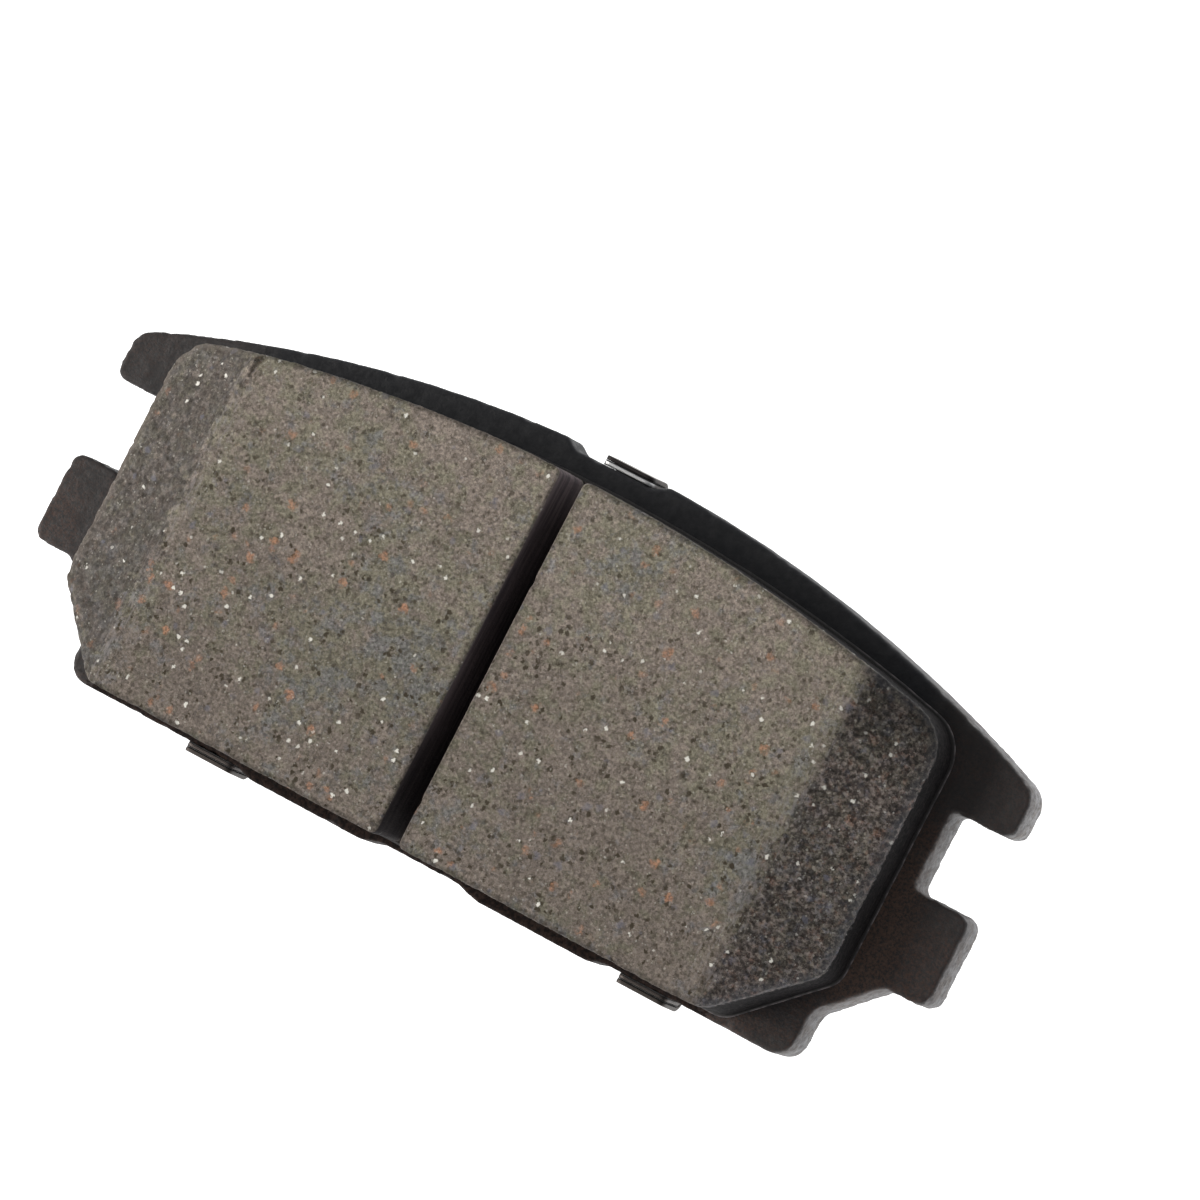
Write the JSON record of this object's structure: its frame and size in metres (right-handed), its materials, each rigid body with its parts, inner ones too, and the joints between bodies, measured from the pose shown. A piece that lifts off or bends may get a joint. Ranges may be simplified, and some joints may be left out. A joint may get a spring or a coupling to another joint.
{
  "type": "disc brake pad",
  "caption": "Disc brake pad: stamped steel backing plate with notched ends, slotted and bevelled friction lining in two segments, and nested clip-on shims on the back.",
  "frame": {"origin": "below the middle of the pad, on the back of the outer shim, which is what the pad lies on", "axes": "+X along the pad's length, +Y towards the outer arc, +Z from the shims to the friction face"},
  "size_m": [0.116, 0.0502, 0.0173],
  "materials": {
    "painted_plate": "black powder coat with a fine orange-peel texture",
    "bond_resin": "cured resin, satin",
    "underlayer_compound": "moulded compound, matte, painted black on its sides",
    "friction_compound": "ground friction compound, grey-brown with dark pores, pale fibres and copper grains",
    "shim_rubber": "thin matte rubber coat",
    "shim_steel": "cold-rolled steel, bright sheared edges",
    "stainless_shim": "cold-rolled stainless sheet, satin"
  },
  "bodies": {
    "outer_shim": {"outer_shim": "stainless_shim"},
    "inner_shim": {"inner_shim_front_coat": "shim_rubber", "inner_shim_core": "shim_steel", "inner_shim_back_coat": "shim_rubber"},
    "pad": {"backing_plate": "painted_plate", "bond_layer": "bond_resin", "underlayer": "underlayer_compound", "friction_segment_left": "friction_compound", "friction_segment_right": "friction_compound"}
  },
  "joints": [
    {"name": "inner_shim_lift", "type": "slide", "parent": "outer_shim", "child": "inner_shim", "axis": [0, 0, 1], "range_m": [0, 0.012]},
    {"name": "pad_lift", "type": "slide", "parent": "inner_shim", "child": "pad", "axis": [0, 0, 1], "range_m": [0, 0.012]}
  ]
}
